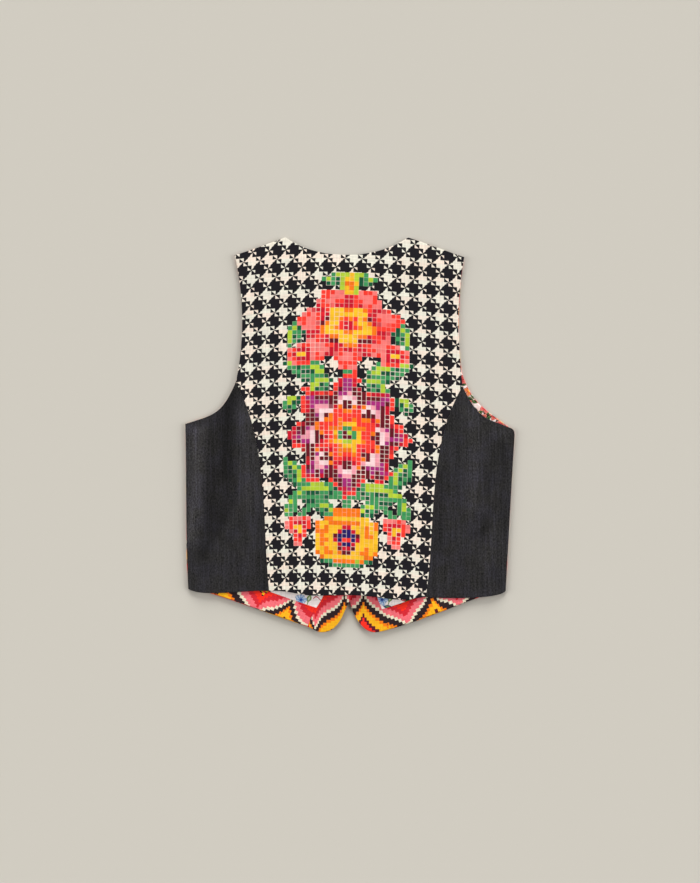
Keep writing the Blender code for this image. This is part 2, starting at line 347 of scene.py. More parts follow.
# How far the top of the brown band lies below the line of the back's hem, one entry for each block
# of stitches from left to right: peaks follow each other at uneven distances
FLAME_HEM = -236.3
FLAME_LINE = (
    (-60, 27), (-57.2, 31.5), (-55.7, 35.2), (-53.5, 42.5), (-50.9, 49.1), (-48.4, 45.4),
    (-46.6, 41), (-44.3, 36.6), (-41.3, 32.2), (-37.4, 29.3), (-31.5, 24.9), (-24.9, 22),
    (-19.8, 18.3), (-16.1, 14.7), (-13.2, 10.3), (-10.6, 5.1), (-8.4, -1.5), (-5.9, 4.4),
    (-2.9, 8.8), (0, 22), (6.6, 18.3), (11.7, 13.2), (14.7, 8.8), (17, 4.4), (19.5, -1.5),
    (22.9, 5.1), (26.1, 9.5), (29.8, 13.9), (34.1, 17.6), (40, 22), (45.9, 26.4), (51.3, 30),
    (57.2, 33), (63, 34.4), (68.9, 37.4), (74, 40.3), (78.1, 42.5), (82.8, 44.5), (86.4, 43),
    (89.1, 39.6), (91.6, 35.2), (95.3, 29.3), (100.8, 22.7), (105.5, 17.6), (108.2, 13.9),
    (110.7, 8.8), (113.6, 2.9), (117.5, -6.6), (121.6, -2), (125.3, 2.2), (129.7, 6.6),
    (134.8, 8.8), (141.4, 9.5), (148.8, 11.7), (154.6, 14.7), (158.3, 17.6), (162, 20.5),
    (165.6, 14.7), (168.5, 9.5), (171.5, 6), (175.9, 3), (183, 1),
)
LEFT_HEM_LINE = (
    (-208.5, 20.2), (-204.4, 15.1), (-201.6, 7.3), (-199.1, -1.2), (-192, 3.6), (-186.4, 6.7),
    (-181, 9.8), (-175.5, 12.9), (-170, 16), (-164.8, 18.2), (-160.2, 21), (-156, 23.7),
    (-151.8, 26.2), (-147.4, 29.5), (-143, 33.5), (-140.2, 27.5), (-137.5, 22.8), (-133, 18.6),
    (-127.8, 14.8), (-121.6, 12.8), (-117.1, 8.3), (-112.6, 3.9), (-108.5, -1.3), (-105.2, -6.1),
    (-103, -10.3), (-101.3, -13.5), (-97.2, -9.1), (-93.2, -2.9), (-88.3, 3), (-83, 8.6),
    (-77.7, 11), (-72.5, 13.4), (-67.6, 13.9), (-63.2, 12.9), (-54, 12),
)
RIGHT_HEM_LINE = (
    (38, -5), (42.3, -1), (46.2, 2.6), (50.3, 8.7), (54.3, 14.9), (58.2, 20.1), (62.7, 24.3),
    (67.6, 27.6), (72.6, 31.6), (77, 35.8), (81.2, 40.2), (85.4, 45), (89.4, 44), (92.6, 41.6),
    (96.2, 38), (100.6, 34.2), (107.2, 30.2), (113.3, 27), (117.1, 24.4), (121.2, 20.5),
    (126, 15.9), (132.9, 8.3), (135.2, 14.1), (137.2, 19.3), (139.8, 24.9), (143.9, 28.7),
    (149.8, 31.7), (156, 36.3), (160.5, 41.1), (162.9, 45), (165.4, 49), (170.8, 44.8),
    (175.3, 40.9), (179.3, 38.7), (184.5, 37.3), (191.8, 37.9), (202.1, 44.8),
)
# The hem facings are cut with the print upright to the hem, so it leans on them: for each, the point
# that it is turned about, its lean to the right in degrees, and where it is kept in the print's plan
HEM_ASIDE = 1000.0
HEM_TURNS = {
    "left": ((-137.0, -269.3), 25, -HEM_ASIDE),
    "right": ((82.8, -280.8), -20, HEM_ASIDE),
}
RED = dye(250, 52, 38)
ROSE = dye(214, 44, 54)
PINK = dye(242, 112, 120)
CREAM = dye(235, 224, 195)
BROWN = dye(50, 36, 38)
ORANGE = dye(246, 126, 24)
YELLOW = dye(250, 182, 34)
MAROON = dye(96, 26, 44)
# Where each band begins, in millimetres above the foot of one set of bands
FLAME_BANDS = (
    (0, ROSE), (5, RED), (26, MAROON), (32.5, YELLOW), (44.3, ORANGE), (48.7, BROWN),
    (59, CREAM), (63.6, PINK), (73.9, ROSE), (82, RED), (92.5, BROWN), (94.3, YELLOW),
)
# The highest and the lowest line that a curve's heights, 0 to 1, stand for
LINE_LOW = -30
LINE_HIGH = 60

flame, flame_in, flame_out = new_group("flame stitch", {"Place": "Vector"}, {"Color": "Color"})


def drawn_curve(value, knots):
    """A line through the knots, all of them from 0 to 1, straight from each to the next."""
    node = wire(value.tree, "FloatCurve", Value=value)
    points = node.mapping.curves[0].points
    for _ in knots[2:]:
        points.new(0.5, 0.5)
    for knot, place in zip(points, knots):
        knot.location = place
        knot.handle_type = "VECTOR"
    node.mapping.update()
    return Amount(value.tree, node.outputs[0])


def stepped_line(value, knots):
    """The height of the knot nearest to this value, so that the line goes in steps.

    One curve gives how many knots lie before the value, its whole number picks the knot, and a
    second curve gives that knot's height, as its share of the way from LINE_LOW to LINE_HIGH.
    """
    first, last, steps = knots[0][0], knots[-1][0], len(knots) - 1
    span = LINE_HIGH - LINE_LOW
    share = fraction((value - first) / (last - first))
    places = [((place - first) / (last - first), number / steps) for number, (place, _) in enumerate(knots)]
    nearest = calculate("ROUND", drawn_curve(share, places) * steps) / steps
    heights = [(number / steps, (height - LINE_LOW) / span) for number, (_, height) in enumerate(knots)]
    return drawn_curve(nearest, heights) * span + LINE_LOW


x, y = parts(flame, flame_in["Place"])
on_left_hem = x < -HEM_ASIDE / 2
on_right_hem = x > HEM_ASIDE / 2
x = x + (on_left_hem - on_right_hem) * HEM_ASIDE
column = whole(x / STITCH_STEP + 0.5)
drop = stepped_line(x, LEFT_HEM_LINE) * on_left_hem + stepped_line(x, RIGHT_HEM_LINE) * on_right_hem
drop = drop + stepped_line(x, FLAME_LINE) * (1 - on_left_hem - on_right_hem)
above_line = y - FLAME_HEM + drop
band = fraction((above_line + BROWN_TOP) / BAND_REPEAT)
colour = colour_bands(band, [(start / BAND_REPEAT, dyed) for start, dyed in FLAME_BANDS])
from_side = abs(fraction(x / STITCH_STEP) - 0.5)
groove = between(from_side, 0.22, 0.02)
row = whole(above_line / STITCH_RISE)
shade = 1.05 - groove * 0.07 - chance(flame, column, row, 1.0) * 0.08
flame.links.new(darken(colour, shade), flame_out["Color"])

flame_print, tree, shader = new_material("flame_print", 0.85, sheen=0.05)
place = wire(tree, "UVMap").outputs[0]
stitched = use_group(tree, flame, Place=place)
finish_cloth(tree, shader, stitched.outputs["Color"], place, thread=0.55, depth=0.08)

# The lining
# A thin pale cotton printed with garden flowers. Red, rose and orange blossoms crowd its upper part,
# which shows at the armholes. Blue sprigs stand apart on its lower part, in the V above each hem.
LINING_GROUND = dye(264, 252, 247)
FLOWER_SPACING = 19.0
PETALS = 5
FULL_TURN = 2 * math.pi
SPRIG_SPACING = (119.0, 84.0)
SPRIG_PLACE = (-72.0, -242.0)

lining_print, tree, shader = new_material("lining_print", 0.8, sheen=0.05)
place = wire(tree, "UVMap").outputs[0]


def scattered(tree, place, spacing, seed):
    """Scattered points: how far off the nearest is, across and up, and three random numbers of its own."""
    x, y = parts(tree, place)
    scaled = point(x / spacing + seed, y / spacing + seed * 0.7)
    flat = {"voronoi_dimensions": "2D"}
    node = wire(tree, "TexVoronoi", scaled, settings=flat, Scale=1.0, Randomness=0.75)
    minus = {"operation": "SUBTRACT"}
    apart = wire(tree, "VectorMath", scaled, node.outputs["Position"], settings=minus)
    away_x, away_y = parts(tree, apart.outputs[0])
    lots = wire(tree, "SeparateColor", Color=node.outputs["Color"])
    return away_x, away_y, [Amount(tree, lots.outputs[name]) for name in ("Red", "Green", "Blue")]


def leaf_shape(x, y, turn, length, width):
    """How far out in a pointed leaf a place is: |b| + a^2, with a along the leaf and b across it."""
    changing = isinstance(turn, Amount)
    over, rise = (cosine(turn), sine(turn)) if changing else (math.cos(turn), math.sin(turn))
    a = (x * over + y * rise) / length
    b = (y * over - x * rise) / width
    return abs(b) + a * a


x, y = parts(tree, place)
crowded = between(y + cloud(tree, place, 0.05) * 60, -190, -170)
rosy = between(cloud(tree, place, 0.07, seed=6.0), 0.4, 0.55)
ground = lay(LINING_GROUND, dye(242, 204, 194), crowded * rosy)
stem_noise = cloud(tree, place, 0.035, detail=1.0, seed=2.0)
stem = between(abs(stem_noise - 0.5), 0.016, 0.008)
colour = lay(ground, dye(40, 52, 40), stem * crowded)
leaf_x, leaf_y, leaf_lots = scattered(tree, place, FLOWER_SPACING * 0.62, 3.3)
leaf_q = leaf_shape(leaf_x, leaf_y, leaf_lots[0] * FULL_TURN, 0.62, 0.26)
LEAF_DYES = [
    (0, dye(22, 34, 34)), (0.3, dye(56, 96, 60)),
    (0.5, dye(140, 165, 90)), (0.66, dye(20, 32, 34)),
]
leaf_colour = colour_bands(leaf_q, LEAF_DYES)
leafy = between(leaf_q, 1.0, 0.9) * most(crowded, leaf_lots[1] > 0.82)
colour = lay(colour, leaf_colour, leafy)
away_x, away_y, lots = scattered(tree, place, FLOWER_SPACING, 0.0)
radius, angle = polar(away_x, away_y)
wave = cosine(angle * PETALS + lots[1] * FULL_TURN)
bloom = radius / (0.43 + wave * 0.08)
PETAL_DYES = [
    (0, dye(206, 30, 44)), (0.3, dye(240, 112, 46)), (0.52, dye(216, 44, 62)),
    (0.74, dye(244, 158, 60)), (0.88, dye(238, 128, 132)),
]
petal = colour_bands(lots[0], PETAL_DYES)
streak = sine(angle * 23 + radius * 9) * 0.5 + 0.5
petal = lay(petal, dye(252, 226, 190), streak * between(bloom, 0.35, 0.9) * 0.6)
petal = lay(petal, dye(140, 20, 44), between(wave, -0.75, -1.0) * 0.8)
petal = lay(petal, dye(96, 20, 40), between(bloom, 0.88, 0.97) * 0.6)
petal = lay(petal, dye(250, 208, 80), between(bloom, 0.34, 0.28))
petal = lay(petal, dye(90, 26, 34), between(bloom, 0.16, 0.12))
colour = lay(colour, petal, between(bloom, 1.0, 0.96) * crowded)

sprig_x = (fraction((x - SPRIG_PLACE[0]) / SPRIG_SPACING[0] + 0.35) - 0.35) * SPRIG_SPACING[0]
sprig_y = (fraction((y - SPRIG_PLACE[1]) / SPRIG_SPACING[1] + 0.5) - 0.5) * SPRIG_SPACING[1]
open_ground = 1 - crowded
thin = abs(sprig_y - sine(sprig_x * 0.35) * 3.0 - 1.5)
thin_reach = (sprig_x > 18.0) * (sprig_x < 35.0)
colour = lay(colour, dye(206, 50, 78), between(thin, 1.1, 0.6) * thin_reach * open_ground)
stalk = abs(sprig_x - 11.5 - sprig_y * 0.35)
stalk = between(stalk, 0.9, 0.5) * (abs(sprig_y + 5) < 7.0)
colour = lay(colour, dye(140, 168, 96), stalk * open_ground)
SPRIG_LEAVES = (
    ((12, 2), 1.15, (6.0, 3.6), dye(226, 230, 214), dye(138, 164, 92), dye(96, 128, 70)),
    ((8.5, -10.5), -0.1, (7.0, 2.8), dye(120, 164, 90), dye(46, 72, 110), dye(40, 52, 76)),
)
for middle, turn, size, vein, blade, rim in SPRIG_LEAVES:
    q = leaf_shape(sprig_x - middle[0], sprig_y - middle[1], turn, *size)
    bands = [(0, vein), (0.3, blade), (0.8, rim)]
    colour = lay(colour, colour_bands(q, bands), between(q, 1.0, 0.92) * open_ground)
radius, angle = polar(sprig_x, sprig_y)
bloom = radius / (8.4 + cosine(angle * PETALS) * 1.3)
SPRIG_BLUES = [
    (0, dye(56, 80, 160)), (0.24, dye(120, 160, 216)),
    (0.55, dye(166, 194, 230)), (0.9, dye(78, 108, 176)),
]
blue = colour_bands(bloom, SPRIG_BLUES)
streak = sine(angle * 9 + radius * 0.5) * 0.5 + 0.5
blue = lay(blue, dye(232, 238, 246), between(streak, 0.55, 0.8) * between(bloom, 0.3, 0.5) * 0.75)
colour = lay(colour, blue, between(bloom, 1.0, 0.95) * open_ground)
finish_cloth(tree, shader, colour, place, thread=0.4, depth=0.05)

# The fronts
# Two front panels of the flame print, cut to a point below the waist and open to a V above the
# buttons. They lie outside down, the right one on the table and the left one over its edge where
# they wrap. Each is one cloth with its seams turned in.


def edge(start, *stretches):
    """An edge of cubic stretches. Returns their numbers of cells and each one's four points.

    Each stretch is the point that it leaves towards, the point that it arrives from, its end and
    its number of cells.
    """
    starts = [start, *(end for _, _, end, _ in stretches)]
    points = [(begin, *stretch[:3]) for begin, stretch in zip(starts, stretches)]
    return np.array([stretch[3] for stretch in stretches]), np.array(points, float)


WRAP = 11.0
NECK_LEFT = (-94.7, 289.6)
NECK_RIGHT = (85.3, 289.6)
TIP_LEFT = (-169.4, 263.4)
TIP_RIGHT = (167.7, 260.6)
FRONT_EDGES = {
    "left_outer": edge(
        (-235.6, -223.5),
        ((-237.6, -212), (-239.4, -201), (-240.3, -189), 2),
        ((-241.4, -130), (-240.8, -60), (-242.3, 15.5), 10),
        ((-198.2, 28.6), (-186.8, 29.5), (-166.3, 77.4), 5),
        ((-153.2, 138), (-153.6, 203), TIP_LEFT, 10),
    ),
    "left_centre": edge(
        (-11, -266),
        ((-8, -259), (-4, -250), (-0.7, -243.5), 2),
        ((4.5, -233), (WRAP, -218), (WRAP, -196), 3),
        ((WRAP, -130), (WRAP, -60), (WRAP, 5), 11),
        ((-24, 84), (-66, 190), NECK_LEFT, 11),
    ),
    "left_hem": edge(
        (-235.6, -223.5),
        ((-177, -239), (-118, -263.5), (-62.4, -281.2), 9),
        ((-56, -284), (-50, -288.2), (-43.7, -289.6), 1),
        ((-27, -290.6), (-19, -281), (-11, -266), 2),
    ),
    "right_outer": edge(
        (227.2, -226),
        ((229.4, -214), (230.8, -202), (231.5, -189), 2),
        ((233.8, -130), (236.6, -70), (242.3, 4.4), 10),
        ((206, 34), (177, 44), (163.9, 95), 6),
        ((159, 140), (157, 187), TIP_RIGHT, 9),
    ),
    "right_centre": edge(
        (11.5, -272.5),
        ((6.8, -266), (3, -257), (0, -248.5), 2),
        ((-4.8, -235), (-WRAP, -220), (-WRAP, -198), 3),
        ((-WRAP, -130), (-WRAP, -60), (-WRAP, 5), 11),
        ((22, 84), (60, 190), NECK_RIGHT, 11),
    ),
    "right_hem": edge(
        (227.2, -226),
        ((176, -240.5), (118, -269), (58, -285.3), 9),
        ((51, -287.4), (44, -289.3), (37.5, -289.6), 1),
        ((27, -290), (19, -283.5), (11.5, -272.5), 2),
    ),
}
FRONT_ROWS = 27
FRONT_COLUMNS = 12
FACING_WIDTHS = (43.0, 24.0, 12.0, 0.0)
LINING_COLUMNS = 9
HEM_FACING_ROWS = 2
FRONT_WALL = 1.3
FRONT_ROLL = 1.0
LAYER_GAP = 0.35
BUTTON_LIFT = 3.35
FRONT_STACK = 2.9
HEM_CURL = 3.0
HEM_POINT = (45.0, -289.6)
HEM_SLOPE = 0.345
HEM_ROUND = 14.0
# How far the close lines of a grid stand from its edge, in millimetres
EDGE_LINES = (0.1, 0.3, 0.6, 1.0, 1.6, 2.6)
# How far a front stays inside its outer edge and below its shoulder, in cells, and what lies on it
FRONT_INSET = 0.03
FRONT_SHORT = 0.16
LAYER_INSET = 0.06
LAYER_SHORT = 0.18


def ramp(value, none, full):
    """0 at none, 1 at full, with a smooth S between them."""
    share = np.clip((value - none) / (full - none), 0, 1)
    return share * share * (3 - 2 * share)


def edge_at(whole_edge, places):
    """Points of an edge at places counted in its cells.

    Each stretch is a cubic: its four points weighted (1-s)^3, 3(1-s)^2 s, 3(1-s) s^2 and s^3,
    with s the share of the stretch that is passed.
    """
    cells, points = whole_edge
    first = np.cumsum(cells) - cells
    which = np.clip(np.searchsorted(first, places, side="right") - 1, 0, len(cells) - 1)
    share = ((places - first[which]) / cells[which])[:, None]
    weights = ((1 - share) ** 3, 3 * (1 - share) ** 2 * share, 3 * (1 - share) * share**2, share**3)
    return sum(weight * points[which, place] for place, weight in enumerate(weights))


def along_chord(points):
    """How far along the straight line between its ends each point of an edge lies, 0 to 1."""
    chord = points[-1] - points[0]
    return (points - points[0]) @ chord / (chord @ chord)


def panel(left, right, bottom, top, up):
    """A grid of points between four edges.

    Each row goes straight from the left edge to the right one at the shares of the hem and the top
    edge, and adds the hem's bend times (1-up)^2 and the top edge's bend times up^2.
    """
    up = up[:, None, None]
    low, high = along_chord(bottom)[:, None], along_chord(top)[:, None]
    share = (1 - up) * low + up * high
    straight = left[:, None] * (1 - share) + right[:, None] * share
    bottom_bend = bottom - (bottom[0] + low * (bottom[-1] - bottom[0]))
    top_bend = top - (top[0] + high * (top[-1] - top[0]))
    return straight + (1 - up) ** 2 * bottom_bend + up**2 * top_bend


def grid_lines(first, last, steps, cell):
    """Places of grid lines from first to last, counted in cells: even, and closer by the ends.

    cell is a cell's length, so that the close lines stand at set distances from the edge.
    """
    even = np.linspace(first, last, steps + 1)
    close = np.array(EDGE_LINES) / cell
    near = (even > first + close[-1] * 1.2) & (even < last - close[-1] * 1.2)
    return np.concatenate([[first], first + close, even[near], last - close[::-1], [last]])


def front_plan(side, rows, columns):
    """The grid of one front at these rows and columns, counted in cells from its outer hem corner.

    Away from the hem the last three columns' lines stand at the facing's widths from the front
    edge. Near it the columns lean over to their shares of the hem.
    """
    outer = edge_at(FRONT_EDGES[side + "_outer"], rows)
    centre = edge_at(FRONT_EDGES[side + "_centre"], rows)
    hem = edge_at(FRONT_EDGES[side + "_hem"], columns)
    whole_hem = edge_at(FRONT_EDGES[side + "_hem"], np.array([0.0, FRONT_COLUMNS]))
    chord = whole_hem[-1] - whole_hem[0]
    hem_share = (hem - whole_hem[0]) @ chord / (chord @ chord)
    width = np.linalg.norm(centre - outer, axis=1)[:, None]
    facing = 1 - np.array(FACING_WIDTHS) / width
    inner = facing[:, :1] * np.linspace(0, 1, LINING_COLUMNS + 1)[:-1]
    lines = np.concatenate([inner, facing], axis=1)
    hats = np.maximum(0, 1 - np.abs(columns - np.arange(FRONT_COLUMNS + 1)[:, None]))
    near_hem = np.clip(1 - rows / (HEM_FACING_ROWS + 1), 0, 1)[:, None]
    across = (lines @ hats) * (1 - near_hem) + hem_share * near_hem
    up = (rows / FRONT_ROWS)[:, None, None]
    share = across[..., None]
    straight = outer[:, None] * (1 - share) + centre[:, None] * share
    hem_bend = hem - (whole_hem[0] + hem_share[:, None] * chord)
    return straight + (1 - up) ** 2 * hem_bend


def hem_curl(points):
    """The stiff faced hem curls off the table: an S from 0 inside it to HEM_CURL at its edge.

    The hem's line is level at the point, and beyond it rises by HEM_SLOPE, with a round between.
    """
    x, y = np.abs(points[..., 0]), points[..., 1]
    beyond = (np.hypot(x - HEM_POINT[0], HEM_ROUND) + x - HEM_POINT[0]) / 2
    inside = y - HEM_POINT[1] - HEM_SLOPE * beyond
    return HEM_CURL * ramp(inside, 38, 0) * ramp(x, 236, 205)


def under_lift(points):
    """Height of the right front's underside: it rides over the buttons and curls at its hem."""
    x, y = points[..., 0], points[..., 1]
    buttons = BUTTON_LIFT * ramp(x, 52, 12) * ramp(y, -262, -222) * ramp(y, 60, 8)
    return buttons + hem_curl(points)


def over_lift(points):
    """Height of the left front's underside: it rides over the right front's edge."""
    x, y = points[..., 0], points[..., 1]
    buttons = BUTTON_LIFT * ramp(y, -272, -234) * ramp(y, 96, 20)
    wrap = (FRONT_STACK + LAYER_GAP) * ramp(y, -292, -256) * ramp(y, 110, 46)
    return (buttons + wrap) * ramp(x, -64, -12) + hem_curl(points)


LIFTS = {"left": over_lift, "right": under_lift}


def edge_distance(plan):
    """Distance from each point of a grid to the nearest end of its row or column."""
    ends = (plan[:, :1], plan[:, -1:], plan[:1], plan[-1:])
    return np.min([np.linalg.norm(plan - end, axis=-1) for end in ends], axis=0)


def cloth(name, plan, under, wall, turn, place, covers, margin=0.0, fold=None):
    """One cloth as a closed shell on a grid of points.

    Its upper and under faces stand half the wall from a middle surface, times
    sqrt(1 - (1-d/turn)^2) within turn of the edge, d being the distance to it, so that they meet
    in a round rim. covers are the upper and under materials; the upper one wraps round the rim and
    goes on under the edge for the margin. place is each point's own coordinates on the cloth, and
    fold how high it stands in a fold.
    """
    rows, columns = plan.shape[:2]
    distance = edge_distance(plan)
    share = np.clip(distance / turn, 0, 1)
    full = np.sqrt(1 - (1 - share) ** 2)
    middle = under + wall / 2
    upper = np.dstack([plan, middle + wall / 2 * full]).reshape(-1, 3)
    lower = np.dstack([plan, middle - wall / 2 * full]).reshape(-1, 3)
    number = np.arange(rows * columns).reshape(rows, columns)
    rim = np.ones((rows, columns), bool)
    rim[1:-1, 1:-1] = False
    inner = ~rim.reshape(-1)
    below = number.reshape(-1).copy()
    below[inner] = rows * columns + np.arange(inner.sum())
    below = below.reshape(rows, columns)
    faces = []
    for grid in (number, below[:, ::-1]):
        corners = (grid[:-1, :-1], grid[:-1, 1:], grid[1:, 1:], grid[1:, :-1])
        faces.append(np.stack(corners, axis=-1).reshape(-1, 4))
    points = np.concatenate([upper, lower[inner]]) * MM
    first = points[faces[0][0]]
    if np.cross(first[1] - first[0], first[3] - first[0])[2] < 0:
        faces = [face[:, ::-1] for face in faces]
    mesh = bpy.data.meshes.new(name)
    mesh.from_pydata(points.tolist(), [], np.concatenate(faces).tolist())

    def both_faces(values):
        """The values of the upper points, then those of the under ones, which have no rim."""
        return np.concatenate([values, values[inner]])

    own = both_faces(place.reshape(-1, 2))
    reach = both_faces(distance.reshape(-1))
    corner_points = np.empty(len(mesh.loops), np.int32)
    mesh.loops.foreach_get("vertex_index", corner_points)
    mesh.uv_layers.new(name="cloth").data.foreach_set("uv", own[corner_points].reshape(-1))
    if fold is not None:
        height = both_faces(fold.reshape(-1))
        mesh.attributes.new("fold", "FLOAT", "POINT").data.foreach_set("value", height)
    for cover in covers:
        mesh.materials.append(cover)
    half = len(faces[0])
    is_lining = np.zeros(2 * half, np.int32)
    is_lining[half:] = reach[faces[1]].min(axis=1) > margin
    mesh.polygons.foreach_set("material_index", is_lining * (len(covers) - 1))
    mesh.shade_smooth()
    mesh.validate()
    piece = put(name, mesh)
    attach(piece, "root")
    return piece


def unevenness(points, lengths, seed):
    """A soft unevenness from -1 to 1: the mean of plane waves in scattered directions."""
    source = np.random.default_rng(seed)
    total = np.zeros(points.shape[:-1])
    for length in lengths:
        turn, start = source.uniform(0, 2 * math.pi, 2)
        heading = np.array([math.cos(turn), math.sin(turn)]) * 2 * math.pi / length
        total += np.sin(points @ heading + start)
    return total / len(lengths)


for side in ("right", "left"):
    rows = grid_lines(0, FRONT_ROWS - FRONT_SHORT, 135, 20)
    columns = grid_lines(FRONT_INSET, FRONT_COLUMNS, 60, 20)
    plan = front_plan(side, rows, columns)
    under = LIFTS[side](plan)
    front = cloth(f"front_{side}_cloth", plan, under, FRONT_WALL, FRONT_ROLL, plan, [flame_print])
    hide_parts(f"front_{side}")

# The facings
# Strips of the same print on the inside of each front: one down the front edge and the V of the
# neck, one along the hem up to the side seam. They meet at a mitred seam near the point.
FACING_WALL = 1.1
FACING_ROLL = 0.9
LINING_WALL = 0.9
LINING_ROLL = 0.8
FACING_RISE = 1.45
SEAM_PART = 0.05
# The first and the last grid line, the steps and a cell's length, for the rows and for the columns: the
# facings and the lining share the front's own grid
STRIP_LINES = {
    "front_facing": ((0.04, FRONT_ROWS - LAYER_SHORT, 150, 20), (LINING_COLUMNS, 11.93, 24, 14)),
    "hem_facing": ((LAYER_INSET, HEM_FACING_ROWS, 14, 14), (LAYER_INSET, LINING_COLUMNS, 70, 20)),
    "lining": ((HEM_FACING_ROWS, FRONT_ROWS - LAYER_SHORT, 140, 20), (LAYER_INSET, LINING_COLUMNS, 60, 20)),
}


def turned_plan(plan, pivot, lean, offset):
    """The plan turned about the pivot by lean degrees, left for a lean to the right, and moved aside."""
    lean = math.radians(lean)
    apart = plan - np.array(pivot)
    across = apart @ np.array([math.cos(lean), -math.sin(lean)]) + pivot[0] + offset
    up = apart @ np.array([math.sin(lean), math.cos(lean)]) + pivot[1]
    return np.stack([across, up], axis=-1)


for side in ("right", "left"):
    outward = -1 if side == "left" else 1
    for kind, away in (("front_facing", (-outward, 0)), ("hem_facing", (outward, -1))):
        rows, columns = (grid_lines(*lines) for lines in STRIP_LINES[kind])
        plan = front_plan(side, rows, columns) + np.array(away) * SEAM_PART
        name = f"{kind}_{side}"
        under = LIFTS[side](plan) + FACING_RISE
        own = turned_plan(plan, *HEM_TURNS[side]) if kind == "hem_facing" else plan
        facing = cloth(f"{name}_cloth", plan, under, FACING_WALL, FACING_ROLL, own, [flame_print])
        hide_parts(name)
        kind == "front_facing"
    rows, columns = (grid_lines(*lines) for lines in STRIP_LINES["lining"])
    plan = front_plan(side, rows, columns) + np.array([outward, 1]) * SEAM_PART
    under = LIFTS[side](plan) + FACING_RISE
    lining = cloth(f"lining_{side}_cloth", plan, under, LINING_WALL, LINING_ROLL, plan, [lining_print])
    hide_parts(f"lining_{side}")

# The buttons
# Four flat horn buttons with four holes, sewn to the left front and passed through the right one,
# so that they lie face down on the table under the wrap.
horn, tree, shader = new_material("horn", 0.32, shine=0.5)
place = wire(tree, "TexCoord").outputs["Object"]
grain = cloud(tree, place, 220, detail=4.0)
HORN_DYES = [
    (0.3, dye(34, 24, 18)), (0.5, dye(70, 46, 30)),
    (0.62, dye(110, 78, 50)), (0.75, dye(60, 40, 28)),
]
horn_colour = colour_bands(grain, HORN_DYES, smooth=True)
tree.links.new(horn_colour, shader.inputs["Base Color"])
tree.links.new((0.28 + grain * 0.15).socket, shader.inputs["Roughness"])
for number in range(4):
    button = bpy.data.objects[f"button_{number + 1}"]
    for place_in_mesh in button.material_slots:
        place_in_mesh.material = horn

# The centre back
# A printed panel from the neck to the hem: a large houndstooth check in near black and cream,
# with a column of cross-stitch flowers printed down its middle. Its sides are the princess seams
# below the arms and the armholes above.
SEAM_TOP_LEFT = (-167.5, 77.4)
SEAM_TOP_RIGHT = (165.0, 70.8)
UNDERARM_LEFT = (-241.6, 16.0)
UNDERARM_RIGHT = (239.3, 7.6)
HEM_LEFT = (-237.1, -226.0)
HEM_RIGHT = (228.3, -228.9)
SEAM_FOOT_LEFT = (-118.7, -229.4)
SEAM_FOOT_RIGHT = (111.2, -237.7)
SIDE_ROWS = 18
ARMHOLE_ROWS = 12
SIDE_COLUMNS = 9
BACK_COLUMNS = 20
BACK_EDGES = {
    "left_side": edge(HEM_LEFT, ((-241.6, -146), (-239.4, -64), UNDERARM_LEFT, 18)),
    "left_seam": edge(SEAM_FOOT_LEFT, ((-129.5, -128), (-118.2, -16), SEAM_TOP_LEFT, 18)),
    "left_underarm": edge(UNDERARM_LEFT, ((-198.2, 29.4), (-187.6, 30.7), SEAM_TOP_LEFT, 9)),
    "left_armhole": edge(SEAM_TOP_LEFT, ((-154.6, 138), (-155, 203), TIP_LEFT, 12)),
    "right_side": edge(
        HEM_RIGHT,
        ((232.7, -151), (236.8, -73), (241.3, -2.6), 17),
        ((241.6, 1.6), (241.2, 5.6), UNDERARM_RIGHT, 1),
    ),
    "right_seam": edge(SEAM_FOOT_RIGHT, ((127.4, -135), (111.1, -22), SEAM_TOP_RIGHT, 18)),
    "right_underarm": edge(
        SEAM_TOP_RIGHT,
        ((189.5, 20.8), (199.0, 25.5), (234.2, 10.6), 8),
        ((236.4, 9.9), (237.6, 9.2), UNDERARM_RIGHT, 1),
    ),
    "right_armhole": edge(SEAM_TOP_RIGHT, ((158.2, 144), (155, 187), TIP_RIGHT, 12)),
    "left_hem": edge(HEM_LEFT, ((-217.1, -239.3), (-147.8, -225.9), SEAM_FOOT_LEFT, 9)),
    "right_hem": edge(SEAM_FOOT_RIGHT, ((122.2, -239.8), (220, -242.2), HEM_RIGHT, 9)),
    "middle_hem": edge(
        SEAM_FOOT_LEFT,
        ((-100, -226.5), (-80, -233), (-62.4, -234.9), 5),
        ((-40, -236.5), (-10, -233.5), (11.4, -234.9), 6),
        ((35, -236), (55, -241), (76.8, -241.5), 6),
        ((90, -241.8), (100, -238.5), SEAM_FOOT_RIGHT, 3),
    ),
    "shoulders_and_neck": edge(
        TIP_LEFT,
        ((-145, 271), (-120, 280), NECK_LEFT, 5),
        ((-47.4, 255.1), (37.4, 255.6), NECK_RIGHT, 10),
        ((112, 280.5), (140, 270), TIP_RIGHT, 5),
    ),
}
BACK_WALL = 1.5
BACK_ROLL = 1.3
HEM_TURNED_IN = 14
BACK_REST = FRONT_STACK
BACK_RISE = 1.2
SIDE_RISE = 1.6
EDGE_ROLL = 26.0
CENTRE_RISE = BUTTON_LIFT + FRONT_STACK + LAYER_GAP + 0.3
